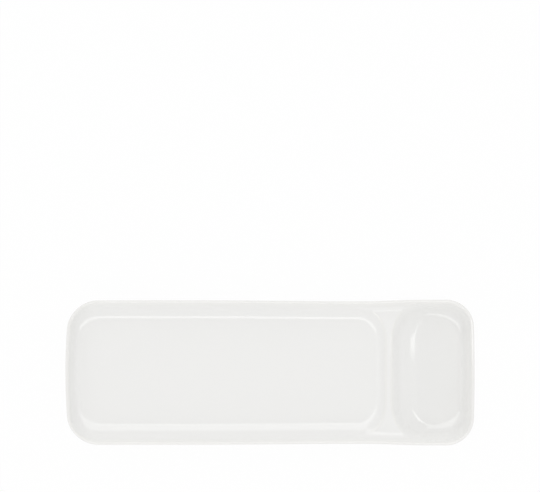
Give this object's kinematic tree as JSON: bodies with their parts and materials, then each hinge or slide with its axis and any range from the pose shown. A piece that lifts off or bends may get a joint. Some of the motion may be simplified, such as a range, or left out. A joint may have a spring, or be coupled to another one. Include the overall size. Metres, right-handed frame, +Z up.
{
  "type": "olive dish",
  "caption": "Long porcelain dish with rounded corners: a shallow tray for olives and a deeper well for their pits, parted by a low rounded divider, on a bare foot ring.",
  "frame": {"origin": "on the table under the middle of the dish's bounding box", "axes": "+X along the length towards the pit well, +Y towards the back long side, +Z up"},
  "size_m": [0.26, 0.0926, 0.02],
  "materials": {
    "porcelain": "dense white fired porcelain, hidden under the glaze",
    "bare_foot": "bare porcelain, wiped free of glaze and ground flat, matte",
    "white_glaze": "clear glossy glaze over white porcelain",
    "base_glaze": "clear glossy glaze, a little thinner under the dish"
  },
  "bodies": {
    "root": {"porcelain_body": "porcelain", "foot_ring": "bare_foot", "glaze_coat": "white_glaze", "base_glaze": "base_glaze"}
  },
  "joints": []
}
